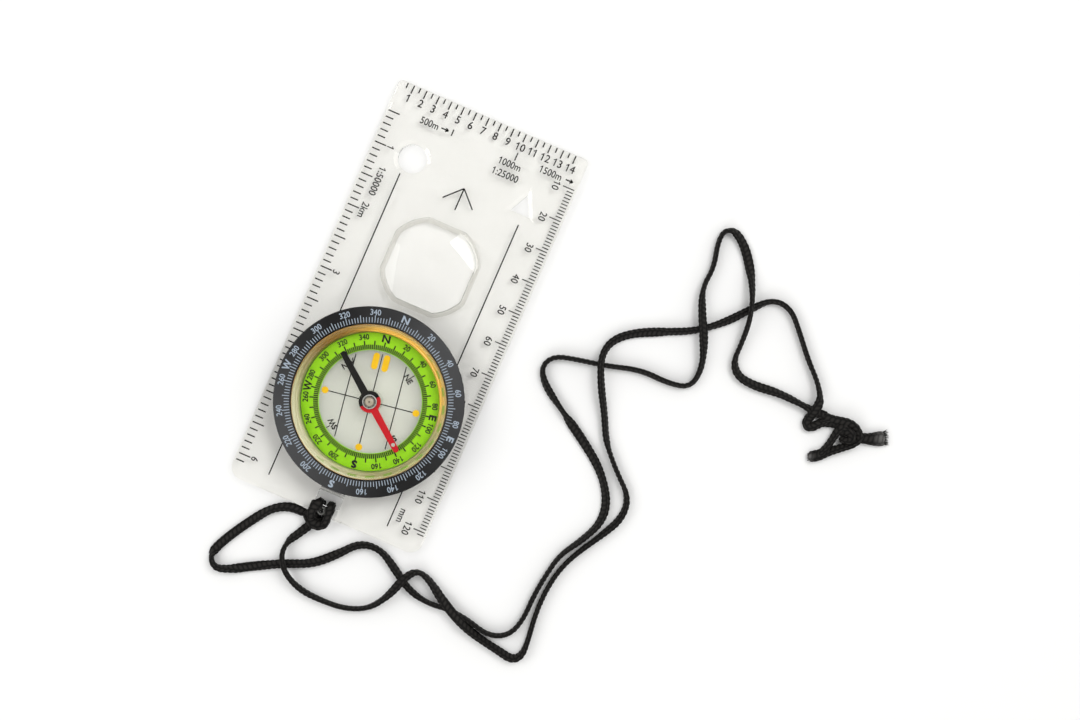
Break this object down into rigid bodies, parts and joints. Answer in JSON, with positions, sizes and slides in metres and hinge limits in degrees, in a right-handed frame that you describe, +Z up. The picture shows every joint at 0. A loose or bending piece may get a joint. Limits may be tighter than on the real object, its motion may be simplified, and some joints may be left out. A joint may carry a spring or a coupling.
{
  "type": "baseplate map compass",
  "caption": "Clear baseplate map compass with ruler edges, round and triangular stencils, magnifier, turning bezel, liquid capsule with red and black needle, and a black cord lanyard.",
  "frame": {"origin": "centre of the baseplate, on its flat underside", "axes": "+X across the plate, +Y along it towards the ruler edge (direction of travel), +Z up from the underside"},
  "size_m": [0.1747, 0.1549, 0.011],
  "materials": {
    "clear_plate": "clear moulded acrylic, polished, with printed scales",
    "clear_lens": "clear polished acrylic lens",
    "bezel_black": "moulded black plastic, satin",
    "azimuth_black": "black plastic ring, satin, with pale blue printing",
    "capsule_clear": "clear moulded acrylic",
    "seal_amber": "translucent amber sealing rubber",
    "plug_dark": "dark rubber",
    "dial_green": "yellow-green printed dial",
    "luminous_yellow": "yellow luminous paint",
    "pin_steel": "hardened steel",
    "needle_paint": "magnetised steel, one half painted red and one half black",
    "jewel_taupe": "polished bearing cap",
    "cord_black": "flat braided cord, matt"
  },
  "bodies": {
    "plate": {"baseplate": "clear_plate", "magnifier_lens": "clear_lens", "lanyard_hitch": "cord_black", "lanyard_strand_a": "cord_black", "lanyard_strand_b": "cord_black", "lanyard_knot": "cord_black", "lanyard_tail_left": "cord_black", "lanyard_tail_right": "cord_black"},
    "bezel": {"bezel": "bezel_black", "azimuth_ring": "azimuth_black", "bezel_retainer": "bezel_black"},
    "capsule": {"capsule_cup": "capsule_clear", "capsule_lid": "capsule_clear", "sealing_ring": "seal_amber", "filler_plug": "plug_dark", "orienting_disc": "capsule_clear", "dial_ring": "dial_green", "luminous_dots": "luminous_yellow", "luminous_bars": "luminous_yellow", "pivot_post": "capsule_clear", "pivot_pin": "pin_steel"},
    "needle": {"needle": "needle_paint", "needle_collar": "capsule_clear", "needle_jewel": "jewel_taupe"}
  },
  "joints": [
    {"name": "bezel_turn", "type": "hinge", "parent": "plate", "child": "bezel", "pos_m": [0, -0.027, 0.006], "axis": [0, 0, 1], "continuous": true},
    {"name": "capsule_turn", "type": "hinge", "parent": "bezel", "child": "capsule", "pos_m": [0, -0.027, 0.006], "axis": [0, 0, 1], "continuous": true},
    {"name": "needle_swing", "type": "hinge", "parent": "capsule", "child": "needle", "pos_m": [0, -0.027, 0.0077], "axis": [0, 0, 1], "continuous": true}
  ]
}
